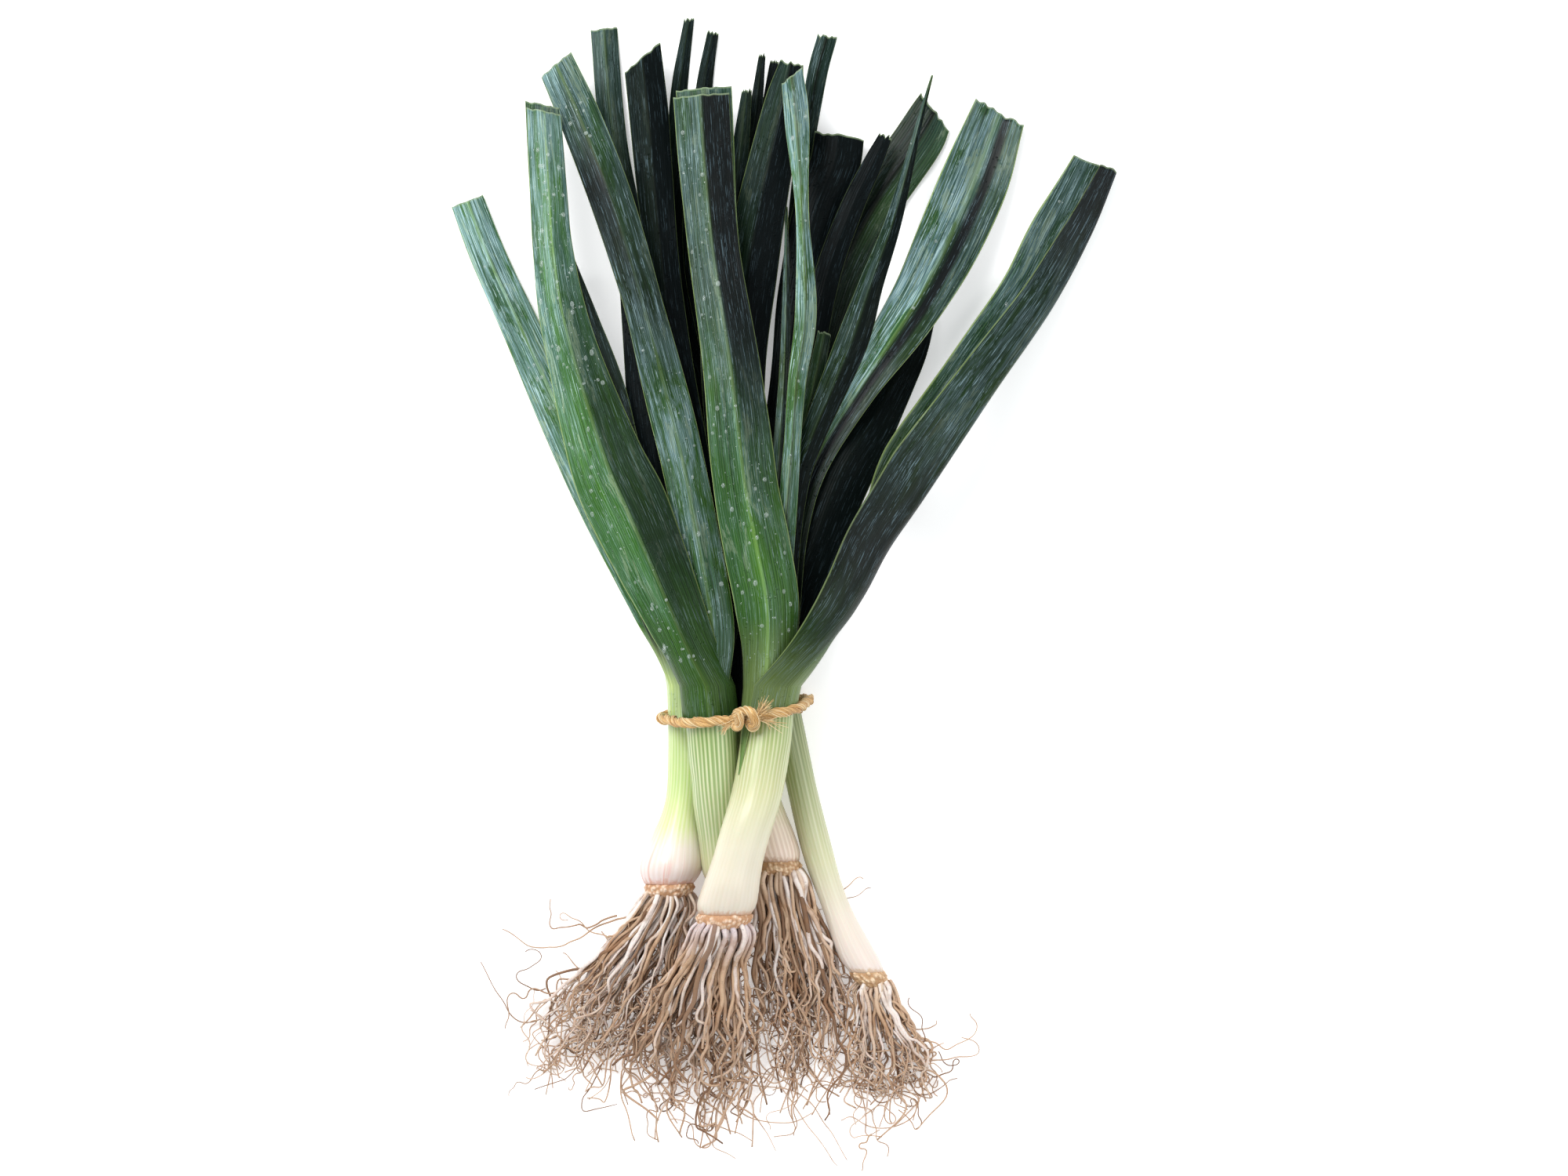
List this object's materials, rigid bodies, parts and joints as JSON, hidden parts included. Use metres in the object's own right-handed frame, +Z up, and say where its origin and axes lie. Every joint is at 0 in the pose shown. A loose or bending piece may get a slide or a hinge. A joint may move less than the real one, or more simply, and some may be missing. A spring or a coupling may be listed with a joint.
{
  "type": "bundle of leeks",
  "caption": "Bundle of fresh leeks with roots and cut leaf tips, tied round the shafts with natural twine and lying on its side.",
  "frame": {"origin": "on the surface, under the middle of the bundle's bounding box", "axes": "+Y from the roots towards the leaf tips, +Z up from the surface the bundle lies on, +X to the right seen from above with the leaves away from the viewer"},
  "size_m": [0.3858, 0.6598, 0.0716],
  "materials": {
    "shaft": "smooth, moist, pale green to cream white, finely ribbed lengthwise",
    "leaf": "waxy blue-green blade with parallel veins and water drops",
    "root_plate": "rough corky disc",
    "root": "dry tan root strands",
    "twine": "twisted natural fibre"
  },
  "bodies": {
    "root": {"leek_a_shaft": "shaft", "leek_a_root_plate": "root_plate", "leek_a_roots": "root", "leek_a_leaf_1": "leaf", "leek_a_leaf_2": "leaf", "leek_a_leaf_3": "leaf", "leek_a_leaf_4": "leaf", "leek_b_shaft": "shaft", "leek_b_root_plate": "root_plate", "leek_b_roots": "root", "leek_b_leaf_1": "leaf", "leek_b_leaf_2": "leaf", "leek_b_leaf_3": "leaf", "leek_b_leaf_4": "leaf", "leek_c_shaft": "shaft", "leek_c_root_plate": "root_plate", "leek_c_roots": "root", "leek_c_leaf_1": "leaf", "leek_c_leaf_2": "leaf", "leek_c_leaf_3": "leaf", "leek_c_leaf_4": "leaf", "leek_c_leaf_5": "leaf", "leek_d_shaft": "shaft", "leek_d_root_plate": "root_plate", "leek_d_roots": "root", "leek_d_leaf_1": "leaf", "leek_d_leaf_2": "leaf", "leek_d_leaf_3": "leaf", "leek_d_leaf_4": "leaf", "leek_d_leaf_5": "leaf", "leek_d_leaf_6": "leaf", "leek_d_leaf_7": "leaf", "leek_e_shaft": "shaft", "leek_e_root_plate": "root_plate", "leek_e_roots": "root", "leek_e_leaf_1": "leaf", "leek_e_leaf_2": "leaf", "leek_e_leaf_3": "leaf", "leek_e_leaf_4": "leaf", "leek_e_leaf_5": "leaf", "leek_e_leaf_6": "leaf", "twine_tie": "twine"}
  },
  "joints": []
}
